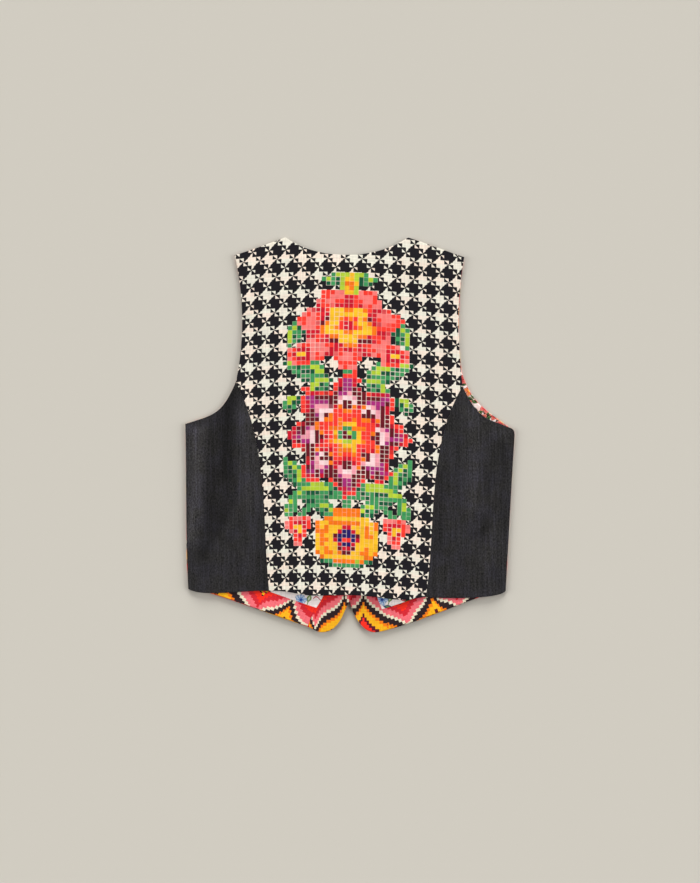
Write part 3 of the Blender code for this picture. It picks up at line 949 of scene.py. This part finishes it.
# Each fold is a soft ridge through its points; a height below 0 makes it a trough
Fold = namedtuple("Fold", "line half_width height")
BACK_FOLDS = [
    Fold([(-226, 0), (-224, -60), (-228, -110), (-232, -150)], 17, 2.4),
    Fold([(-176, 62), (-181, 0), (-181, -62)], 13, -2.4),
    Fold([(-180, -80), (-184, -100), (-189, -126)], 13, -1.3),
    Fold([(-198, 20), (-202, -34)], 18, -0.9),
    Fold([(-202, -58), (-204, -110), (-206, -138)], 17, -1.7),
    Fold([(-152, 20), (-148, -100)], 20, 1.0),
    Fold([(-78, -150), (-80, -234)], 24, 1.5),
    Fold([(-118, -130), (-124, -226)], 15, -0.9),
    Fold([(-22, -170), (-20, -232)], 17, -1.2),
    Fold([(30, -120), (48, -232)], 26, 1.0),
    Fold([(178, 30), (180, -40), (178, -110)], 15, 1.1),
    Fold([(206, -60), (200, -150)], 13, -0.6),
    Fold([(214, -84), (196, -112)], 8, 0.7),
    Fold([(132, -60), (130, -170)], 16, -0.6),
    Fold([(208, -146), (198, -190)], 14, 0.6),
]


def distance_to_line(points, line):
    """Distance from each point to the nearest place on a line through many points."""
    best = np.full(points.shape[:-1], np.inf)
    for start, end in zip(line[:-1], line[1:]):
        way = end - start
        share = np.clip((points - start) @ way / (way @ way), 0, 1)
        apart = points - (start + share[..., None] * way)
        best = np.minimum(best, (apart**2).sum(axis=-1))
    return np.sqrt(best)


def fold_height(points, folds):
    """Sum of the folds: each is height times exp(-1.6 (d/half_width)^2), d its line's distance."""
    total = np.zeros(points.shape[:-1])
    for fold in folds:
        across = distance_to_line(points, np.array(fold.line, float)) / fold.half_width
        total += fold.height * np.exp(-(across**2) * 1.6)
    return total


def back_outline():
    """The line all round the back but for its hem: sides, underarms, armholes, shoulders, neck."""
    runs = []
    for side in ("left", "right"):
        runs.append(edge_at(BACK_EDGES[f"{side}_side"], np.linspace(0, SIDE_ROWS, 25)))
        underarm = edge_at(BACK_EDGES[f"{side}_underarm"], np.linspace(0, SIDE_COLUMNS, 19))
        runs.append(underarm if side == "left" else underarm[::-1])
        runs.append(edge_at(BACK_EDGES[f"{side}_armhole"], np.linspace(0, ARMHOLE_ROWS, 25)))
    runs.append(edge_at(BACK_EDGES["shoulders_and_neck"], np.linspace(0, BACK_COLUMNS, 61)))
    return runs


OUTLINE = back_outline()


def back_height(points, creases):
    """Height of the back's underside: over the wrap, soft folds, rolled down at its edges."""
    x, y = points[..., 0], points[..., 1]
    distance = np.min([distance_to_line(points, run) for run in OUTLINE], axis=0)
    roll = ramp(distance, 0, EDGE_ROLL)
    over_wrap = ramp(np.abs(x), 128, 16) * ramp(y, 250, 60)
    rise = BACK_RISE + SIDE_RISE * ramp(np.abs(x), 110, 165) * ramp(y, 60, 20)
    rise += fold_height(points, BACK_FOLDS) + fold_height(points, creases)
    rise += 0.25 * unevenness(points, (130, 90, 70, 55, 43), 5)
    return BACK_REST + CENTRE_RISE * over_wrap + roll * np.maximum(rise, 0.1)


# The check's own coordinates: how many repeats right of its first column, and down from the neck,
# each place on the laid cloth is. The cloth leans and bows a little, as its small terms say.
CHECK_WIDTH = 24.8
CHECK_HEIGHT = 25.3
CHECK_START = (4.4645, 9.0733)
CHECK_REACH = (150, 250)
# For each term, the powers of across and up, and what it adds to the columns and to the rows
CHECK_TERMS = (
    (0, 0, CHECK_START[0], CHECK_START[1]),
    (1, 0, CHECK_REACH[0] / CHECK_WIDTH - 0.1226, -0.1995),
    (0, 1, -0.0585, 0.0059 - CHECK_REACH[1] / CHECK_HEIGHT),
    (1, 1, -0.2548, 0.0677),
    (2, 0, -0.1113, -0.3091),
    (0, 2, -0.019, 0.1649),
    (3, 0, 0.0611, 0.0754),
    (2, 1, 0.0542, 0.019),
    (1, 2, 0.2449, -0.035),
    (0, 3, -0.0994, -0.0265),
)


def check_place(points):
    """Repeats of the check: the sum of each term's numbers times its powers of across and up.

    Across and up are x and y over CHECK_REACH, so that both run from -1 to 1 on the back.
    """
    across, up = np.moveaxis(points / np.array(CHECK_REACH), -1, 0)
    place = np.zeros(points.shape)
    for power_across, power_up, columns, rows in CHECK_TERMS:
        place += (across**power_across * up**power_up)[..., None] * np.array([columns, rows])
    return place


check, check_in, check_out = new_group("houndstooth", {"Place": "Vector"}, {"Dark": "Float"})
WANDER = 0.05
wander = cloud(check, check_in["Place"], 3.0) - 0.5
wander_down = cloud(check, check_in["Place"], 3.0, seed=7.0) - 0.5
x, y = parts(check, check_in["Place"])
x = x + wander * WANDER
y = y + wander_down * WANDER
half_x = fraction(x * 2) * 0.5
half_y = fraction(y * 2) * 0.5
right_half = fraction(x) > 0.5
low_half = fraction(y) > 0.5
# How far an edge is blurred and how long a step of the threads is, in repeats, and the teeth's slant
SOFT = 0.009
TOOTH_SLANT = 0.84
THREAD_STEP = 1 / 8
# The black has spread a little past its outline in printing, more to the right
spread = (x * 0.00056 + y * 0.00022 + 0.0229) * (1 - low_half * 2)
# The quarters at the crossings hold a dark band, a small dark and a small light triangle
dark_band = between(half_y - 0.25 + spread, -SOFT, SOFT)
narrow = between(0.25 - half_x + spread, -SOFT, SOFT)
dark_tooth = between(half_x * TOOTH_SLANT - half_y + spread, -SOFT, SOFT) * narrow
light_tooth = between((0.5 - half_x) * TOOTH_SLANT - (0.5 - half_y) - spread * 0.6, -SOFT, SOFT)
light_tooth = light_tooth * between(half_x - 0.25 - spread * 0.6, -SOFT, SOFT)
crossing = most(dark_band, dark_tooth) * (1 - light_tooth)
# The other quarters are cut by a slanting line, which goes in the small steps of its threads and
# bulges a little towards the light side between the meetings
stepped_x = calculate("SNAP", half_x, THREAD_STEP) + THREAD_STEP / 2
bulge = spread * (sine(half_x * FULL_TURN) * 2.0 + 0.5)
slant = between(stepped_x * 0.4 + half_x * 0.6 + half_y - 0.5 + bulge, -SOFT, SOFT)
same = abs(right_half - low_half)
value = crossing * (1 - same) + slant * same
dark = abs(value - low_half)
# A small dark lozenge holds the points together where four of them meet
down_right = least(half_x + half_y, 1 - half_x - half_y)
up_right = least(half_x + 0.5 - half_y, half_y + 0.5 - half_x)
from_meeting = down_right * (1 - same) + up_right * same
dark = most(dark, between(from_meeting, 0.036, 0.016))
check.links.new(dark.socket, check_out["Dark"])

# The flowers are charted on a grid of stitches: every formula below reads the middle of the
# stitch, counted from the middle of the column and down from its top.
STITCH_WIDTH = 6.7
STITCH_HEIGHT = 6.35
FLOWERS_MIDDLE = 4.30
FLOWERS_TOP = -0.20
CORAL = dye(255, 62, 50)
SALMON = dye(250, 124, 118)
ROSE_PINK = dye(244, 160, 172)
BLUSH = dye(252, 214, 214)
CRIMSON = dye(206, 24, 48)
WINE = dye(106, 16, 38)
PLUM = dye(170, 48, 122)
GOLD = dye(252, 192, 44)
TANGERINE = dye(252, 122, 26)
LIME = dye(178, 204, 58)
LEAF_GREEN = dye(66, 150, 90)
DEEP_GREEN = dye(24, 88, 58)
NAVY = dye(42, 32, 100)
PALE_GAP = dye(248, 226, 214)

gives = {"Color": "Color", "Mask": "Float"}
flowers, flowers_in, flowers_out = new_group("stitched flowers", {"Place": "Vector"}, gives)
x, y = parts(flowers, flowers_in["Place"])
stitch_x = whole(x) + 0.5
stitch_y = whole(y) + 0.5
stitch_place = point(stitch_x, stitch_y)
mirrored = abs(stitch_x)
luck = chance(flowers, stitch_x, stitch_y, 0.5)
ragged = (luck - 0.5) * 0.08


def bloom_at(middle, size, petals, depth, turn):
    """How far out in a flower each stitch is, 0 to 1 on its rim, and its place in a petal.

    The first is the distance from the middle over the size, divided by 1 + depth cos(petals a +
    turn), with a the direction, so that the rim waves in and out once for each petal. The second
    is that cosine: 1 on a petal's own middle line, -1 between two petals. A flower away from the
    column's middle is there on both sides.
    """
    across = mirrored if middle[0] else stitch_x
    out, angle = polar((across - middle[0]) / size[0], (stitch_y - middle[1]) / size[1])
    wave = cosine(angle * petals + turn)
    return out / (1 + depth * wave) + ragged, wave


# Stems, and leaves that are dark along their vein and lime on one side
colour = LEAF_GREEN
mask = (mirrored < 1.0) * (stitch_y < 58.0) * (stitch_y > 19.0)
tulip_stem = abs(mirrored * mirrored * 0.05 + 50.6 - stitch_y)
mask = most(mask, (tulip_stem < 0.9) * (mirrored < 11.0))
LEAVES = (
    ((3.0, 1.4), 3.2, 1.3, 14),
    ((11.2, 13.6), 3.4, 1.9, 68),
    ((8.8, 22.0), 5.2, 2.6, -18),
    ((6.2, 25.8), 3.4, 1.9, 30),
    ((12.0, 29.6), 2.6, 1.6, 60),
    ((11.6, 45.8), 4.2, 2.1, -58),
    ((7.4, 50.2), 5.6, 2.5, 12),
    ((12.2, 53.6), 3.2, 1.6, 74),
    ((4.6, 54.4), 3.6, 1.7, -34),
    ((3.2, 66.6), 3.4, 1.2, -18),
)
for middle, length, width, lean in LEAVES:
    lean = math.radians(lean)
    away_x, away_y = mirrored - middle[0], stitch_y - middle[1]
    q = leaf_shape(away_x, away_y, lean, length, width) + ragged
    bright = colour_bands(q, [(0, LEAF_GREEN), (0.2, LIME), (0.75, LEAF_GREEN)])
    dull = colour_bands(q, [(0, DEEP_GREEN), (0.35, LEAF_GREEN), (0.8, DEEP_GREEN)])
    leaf_colour = lay(dull, bright, away_y * math.cos(lean) - away_x * math.sin(lean) < 0.0)
    here = q < 1.0
    colour = lay(colour, leaf_colour, here)
    mask = most(mask, here)

# Each flower's middle, its size, how many petals it has, how deep they are and how they are turned,
# its bands from the middle out, and the dyed parts of its petals: the dye, the part's sides along the
# petal's wave, and where it begins and ends on the way out
UP, DOWN = math.pi / 2, -math.pi / 2
FLOWERS = {
    # A small bud at the head of the column
    "bud": ((0, 2.6), (1.9, 3.0), 1, 0.1, 0, [(0, TANGERINE), (0.4, GOLD), (0.75, LIME)], []),
    # A peony with seven petals round a gold cup, and a rosebud on each side of its foot
    "peony": (
        (0, 12.4), (10.2, 8.4), 7, 0.12, UP,
        [
            (0, CRIMSON), (0.42, WINE), (0.5, CRIMSON), (0.6, CORAL),
            (0.76, SALMON), (0.84, CORAL), (0.95, SALMON),
        ],
        [
            (CRIMSON, (-0.55, -0.8), (0.5, 0.56), (1.0, 0.98)),
            (SALMON, (0.72, 0.9), (0.58, 0.62), (0.84, 0.8)),
        ],
    ),
    "peony cup": (
        (0, 12.0), (5.4, 4.4), 5, 0.2, DOWN,
        [(0, CRIMSON), (0.2, CORAL), (0.36, TANGERINE), (0.5, GOLD), (0.86, TANGERINE)], [],
    ),
    "rosebuds": (
        (9.8, 18.6), (2.9, 2.7), 3, 0.12, 0,
        [(0, GOLD), (0.3, CRIMSON), (0.6, CORAL), (0.85, SALMON)], [],
    ),
    # A dahlia with an outer ring of eight wine petals and an inner ring of coral ones
    "dahlia": (
        (0, 37.2), (11.4, 12.4), 8, 0.14, 0,
        [
            (0, WINE), (0.56, BLUSH), (0.63, ROSE_PINK), (0.7, PLUM),
            (0.77, WINE), (0.88, CRIMSON), (0.95, CORAL),
        ],
        [
            (WINE, (-0.35, -0.6), (0.6, 0.64), (1.0, 0.96)),
            (PLUM, (0.86, 0.94), (0.7, 0.74), (0.92, 0.9)),
        ],
    ),
    "dahlia ring": (
        (0, 37.2), (6.3, 6.9), 8, 0.2, math.pi,
        [
            (0, WINE), (0.12, LIME), (0.22, LEAF_GREEN), (0.3, GOLD),
            (0.42, TANGERINE), (0.54, CORAL), (0.84, CRIMSON), (0.93, TANGERINE),
        ],
        [],
    ),
    # A pomegranate with an open crown and a dark core, between two tulips
    "pomegranate": (
        (0, 61.2), (7.8, 5.8), 4, 0.06, math.pi,
        [(0, GOLD), (0.62, TANGERINE), (0.76, GOLD), (0.92, TANGERINE)], [],
    ),
    "tulips": (
        (10.8, 58.8), (2.6, 3.2), 3, 0.22, UP,
        [(0, GOLD), (0.3, CRIMSON), (0.55, CORAL), (0.85, SALMON)], [],
    ),
}
rims = {}
for flower, (middle, size, petals, depth, turn, bands, dyed_parts) in FLOWERS.items():
    out, wave = bloom_at(middle, size, petals, depth, turn)
    here = out < 1.0
    colour = lay(colour, colour_bands(out, bands), here)
    mask = most(mask, here)
    for dyed, sides, inner, outer in dyed_parts:
        colour = lay(colour, dyed, between(wave, *sides) * between(out, *inner) * between(out, *outer))
    rims[flower] = out
lozenge = mirrored / 3.4 + abs(stitch_y - 61.2) / 4.2
bands = [(0, CORAL), (0.26, NAVY), (0.62, CRIMSON), (0.86, WINE)]
colour = lay(colour, colour_bands(lozenge, bands), lozenge < 1.0)
crown = abs(fraction(mirrored * 0.5) - 0.5) * 3.0 + 53.2 - stitch_y
crown = (crown < 0.0) * (mirrored < 3.4) * (stitch_y < 56.0)
colour = lay(colour, TANGERINE, crown)
mask = most(mask, crown)

# Single stitches that have strayed to just outside the two large flowers
near = most(rims["peony"] < 1.16, rims["dahlia"] < 1.1)
stray = (luck > 0.8) * near * (1 - mask)
colour = lay(colour, CORAL, stray)
mask = most(mask, stray)

# Each stitch has its own strength of dye, and paler cloth shows round it, more in some places
tone = 0.86 + chance(flowers, stitch_x, stitch_y, 2.5) * 0.2
tone = tone + cloud(flowers, stitch_place, 0.35, seed=1.0) * 0.12
colour = darken(colour, tone)
in_x = abs(fraction(x) - 0.5) * 2
in_y = abs(fraction(y) - 0.5) * 2
fused = chance(flowers, stitch_x, whole(stitch_y * 0.28), 6.5) > 0.6
in_y = in_y * (1 - fused * 0.35)
square = (in_x**6 + in_y**6) ** (1 / 6)
gap = between(square, 0.8, 0.92)
open_work = between(cloud(flowers, point(x, y), 0.11, detail=1.0, seed=9.0), 0.42, 0.6)
depth_of_dye = 1 - Amount(flowers, wire(flowers, "RGBToBW", Color=colour).outputs[0])
paler = open_work * 0.42 + 0.06 + between(depth_of_dye, 0.7, 0.95) * 0.36
colour = lay(colour, PALE_GAP, gap * paler)
flowers.links.new(colour, flowers_out["Color"])
flowers.links.new(mask.socket, flowers_out["Mask"])

# The length in millimetres of the faint pink and green waves in the cream
TINT_WAVE = 2.2
check_print, tree, shader = new_material("check_print", 0.85, sheen=0.05)
place = wire(tree, "UVMap").outputs[0]
repeats_x, repeats_y = parts(tree, place)
cloth_place = point(repeats_x * CHECK_WIDTH, repeats_y * CHECK_HEIGHT)
dark = Amount(tree, use_group(tree, check, Place=place).outputs["Dark"])
pinkish = sine(repeats_x * (CHECK_WIDTH / TINT_WAVE * FULL_TURN)) * 0.5 + 0.5
greenish = sine(repeats_y * (CHECK_HEIGHT / TINT_WAVE * FULL_TURN)) * 0.5 + 0.5
figure = chance(tree, whole(repeats_x + repeats_y), whole(repeats_y * 2), 1.0)
patchy = between(cloud(tree, cloth_place, 0.12) * 0.5 + figure * 0.5, 0.32, 0.62)
cream = lay(dye(244, 236, 221), dye(248, 219, 197), (pinkish * 0.7 + 0.2) * patchy * 0.8)
cream = lay(cream, dye(222, 226, 204), (greenish * 0.7 + 0.2) * (1 - patchy) * 0.6)
ground = lay(cream, dye(33, 31, 35), dark)
cells = point(
    (repeats_x - FLOWERS_MIDDLE) * (CHECK_WIDTH / STITCH_WIDTH),
    (repeats_y - FLOWERS_TOP) * (CHECK_HEIGHT / STITCH_HEIGHT),
)
printed = use_group(tree, flowers, Place=cells)
colour = lay(ground, printed.outputs["Color"], Amount(tree, printed.outputs["Mask"]))
finish_cloth(tree, shader, colour, cloth_place, thread=0.6, depth=0.08)


def whole_side(side, rows):
    """One side of the centre back at these rows: its princess seam, then its armhole."""
    seam = edge_at(BACK_EDGES[f"{side}_seam"], rows[rows <= SIDE_ROWS])
    armhole = edge_at(BACK_EDGES[f"{side}_armhole"], rows[rows > SIDE_ROWS] - SIDE_ROWS)
    return np.concatenate([seam, armhole])


rows = grid_lines(0, SIDE_ROWS + ARMHOLE_ROWS, 240, 17)
columns = grid_lines(0, BACK_COLUMNS, 170, 15)
part = np.array([SEAM_PART, 0])
hem = edge_at(BACK_EDGES["middle_hem"], columns)
top = edge_at(BACK_EDGES["shoulders_and_neck"], columns)
plan = panel(whole_side("left", rows) + part, whole_side("right", rows) - part, hem, top, rows / rows[-1])
back_centre = cloth(
    "back_centre_cloth", plan, back_height(plan, []), BACK_WALL, BACK_ROLL,
    check_place(plan), [check_print, lining_print], margin=HEM_TURNED_IN,
)
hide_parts("back_centre")

# The side backs
# Two panels of dark charcoal denim between the princess seams and the side seams. The twill is fine, with
# paler threads that run up and down. It lies in soft folds, with painted highlight on their crests and
# painted shade in their troughs.
denim, tree, shader = new_material("dark_denim", 0.9, shine=0.1, sheen=0.05)
place = wire(tree, "UVMap").outputs[0]
x, y = parts(tree, place)
in_fold = wire(tree, "Attribute", settings={"attribute_name": "fold"})
rise = Amount(tree, in_fold.outputs["Fac"])
# Painted highlight and shade on the folds: each millimetre that the denim stands up in a fold makes its
# colour this many times as bright, and troughs are painted darker still
FOLD_PAINTED_LIGHT = 1.31
painted_fold_light = FOLD_PAINTED_LIGHT ** (rise + least(rise, 0) * 0.42)
twill = sine((x + y * 1.15) * (FULL_TURN / 1.1)) * 0.5 + 0.5
grain = cloud(tree, point(x, y * 0.6), 0.56, detail=2.5)
fleck = between(cloud(tree, point(x, y * 0.7), 0.42, detail=1.0, seed=8.0), 0.56, 0.74)
streak = cloud(tree, point(x, y * 0.045), 0.4, detail=3.0, seed=3.0)
mottle = cloud(tree, place, 0.04, detail=3.0, seed=5.0)
pale = (grain - 0.5) * 5.6 + (streak - 0.5) * 3.2 + (mottle - 0.5) * 1.1
pale = pale + fleck * 0.7 + (twill - 0.5) * 0.2
pale = between(pale, -1.5, 1.8)
bluish = between(mottle, 0.42, 0.62) * 0.5 + between(streak, 0.5, 0.66) * 0.3
pale_cloth = lay(dye(69, 67, 66), dye(69, 67, 76), bluish)
# The denim's colour is scaled by the painted highlight and shade of its folds
colour = darken(lay(dye(17, 15, 16), pale_cloth, pale), painted_fold_light)
tree.links.new(colour, shader.inputs["Base Color"])
add_bump(tree, shader, twill * 0.5 + grain * 0.6, depth=0.15, strength=0.7)

CREASES = {
    "left": [
        Fold([(-167, 20), (-168, -76)], 4, -0.4),
        Fold([(-164, -88), (-190, -136)], 7, -0.6),
        Fold([(-196, -146), (-216, -176)], 10, -1.0),
        Fold([(-160, -132), (-184, -160)], 7, -0.5),
        Fold([(-218, -150), (-212, -200)], 12, -0.8),
    ],
    "right": [
        Fold([(182, -20), (182, -104)], 5, 0.4),
        Fold([(220, -15), (214, -40)], 9, -0.5),
        Fold([(188, -76), (190, -90)], 7, -0.4),
        Fold([(201, -137), (179, -151)], 6, -0.6),
        Fold([(217, -217), (212, -200)], 8, -0.6),
        Fold([(226, -20), (224, -120)], 8, -0.7),
    ],
}
for side in ("left", "right"):
    rows = grid_lines(0, SIDE_ROWS, 150, 14)
    columns = grid_lines(0, SIDE_COLUMNS, 76, 13)
    inner_edge = edge_at(BACK_EDGES[side + "_seam"], rows)
    outer_edge = edge_at(BACK_EDGES[side + "_side"], rows)
    hem = edge_at(BACK_EDGES[side + "_hem"], columns)
    underarm = edge_at(BACK_EDGES[side + "_underarm"], columns)
    if side == "left":
        plan = panel(outer_edge, inner_edge - part, hem, underarm, rows / SIDE_ROWS)
    else:
        plan = panel(inner_edge + part, outer_edge, hem, underarm, rows / SIDE_ROWS)
    folds = fold_height(plan, BACK_FOLDS) + fold_height(plan, CREASES[side])
    back_side = cloth(
        f"back_side_{side}_cloth", plan, back_height(plan, CREASES[side]), BACK_WALL, BACK_ROLL,
        plan, [denim, lining_print], margin=HEM_TURNED_IN, fold=folds,
    )
    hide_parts(f"back_side_{side}")
